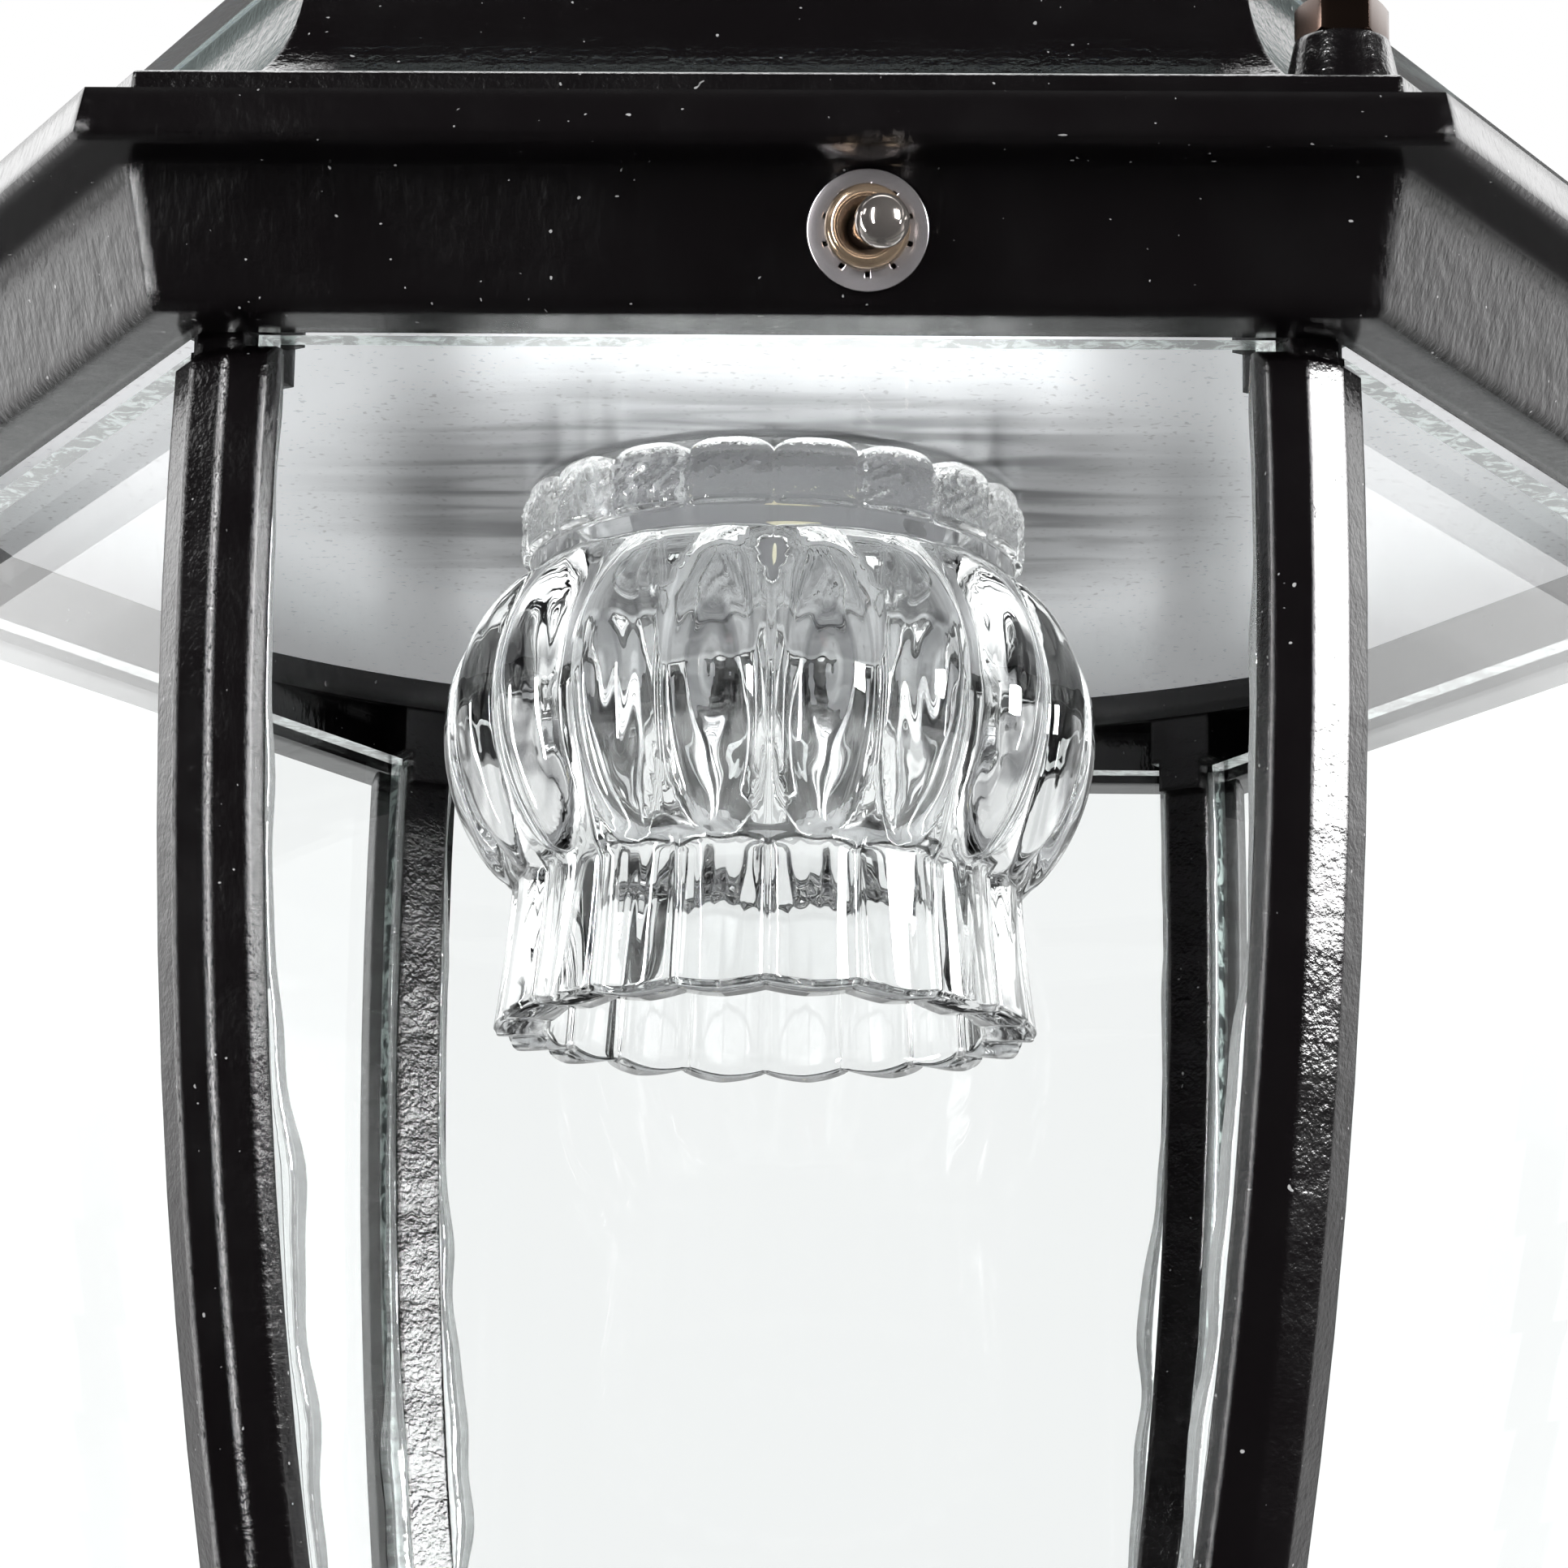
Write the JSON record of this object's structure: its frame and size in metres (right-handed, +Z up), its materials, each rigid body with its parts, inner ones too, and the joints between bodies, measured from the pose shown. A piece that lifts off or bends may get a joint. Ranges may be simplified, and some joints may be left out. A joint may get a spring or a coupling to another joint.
{
  "type": "solar pillar light",
  "caption": "Six-sided lantern for a pillar: cast cage with bent glass panes, pressed glass light cup under a mirror plate, toggle switch and a pyramid roof of solar panels.",
  "frame": {"origin": "centre of the base flange's underside, where it stands on the pillar", "axes": "+Z up along the lantern's axis, -Y towards the front face with the switch, +X to the right seen from the front; a rib stands on +X"},
  "size_m": [0.2606, 0.2303, 0.4276],
  "materials": {
    "black_paint": "semi-gloss black powder coat with a fine orange-peel",
    "zinc_steel": "zinc plated",
    "pane_glass": "clear, bent, polished",
    "pressed_glass": "clear pressed glass, fire polished",
    "sealant": "clear silicone",
    "mirror_plate": "satin mirror",
    "white_board": "white lacquer",
    "light_chip": "clear over yellow phosphor",
    "black_plastic": "matt",
    "cell_wrap": "shrink wrap",
    "brass": "plain",
    "green_board": "solder mask",
    "red_plastic": "moulded",
    "nickel": "nickel plated",
    "bright_nickel": "bright nickel, stamped",
    "dull_nickel": "nickel plated, dull",
    "dark_bronze": "dark bronze plated",
    "solar_laminate": "glass over dark cells"
  },
  "bodies": {
    "lantern": {"pier_base": "black_paint", "base_screws": "zinc_steel", "cage": "black_paint", "pane_front": "pane_glass", "pane_front_right": "pane_glass", "pane_back_right": "pane_glass", "pane_back": "pane_glass", "pane_back_left": "pane_glass", "pane_front_left": "pane_glass", "pane_sealant": "sealant", "top_ring": "black_paint", "ring_screws": "zinc_steel", "reflector_plate": "mirror_plate", "glass_cup": "pressed_glass", "cup_seal": "sealant", "led_board": "white_board", "led_dome": "light_chip", "battery_tray": "black_plastic", "battery_cells": "cell_wrap", "board_standoffs": "brass", "control_board": "green_board", "switch_case": "red_plastic", "switch_terminals": "brass", "switch_bushing": "nickel", "switch_washer": "bright_nickel", "switch_nut": "dull_nickel", "roof": "black_paint", "roof_studs": "zinc_steel", "acorn_nuts": "dark_bronze", "solar_panel_front": "solar_laminate", "solar_panel_front_right": "solar_laminate", "solar_panel_back_right": "solar_laminate", "solar_panel_back": "solar_laminate", "solar_panel_back_left": "solar_laminate", "solar_panel_front_left": "solar_laminate", "roof_cap": "black_paint", "finial": "black_paint", "finial_stud": "zinc_steel"},
    "switch_lever": {"switch_lever": "nickel"}
  },
  "joints": [
    {"name": "switch_toggle", "type": "hinge", "parent": "lantern", "child": "switch_lever", "pos_m": [0.01, -0.10579, 0.3001], "axis": [0, 0.2527, -0.9675], "range_deg": [0, 18]}
  ]
}
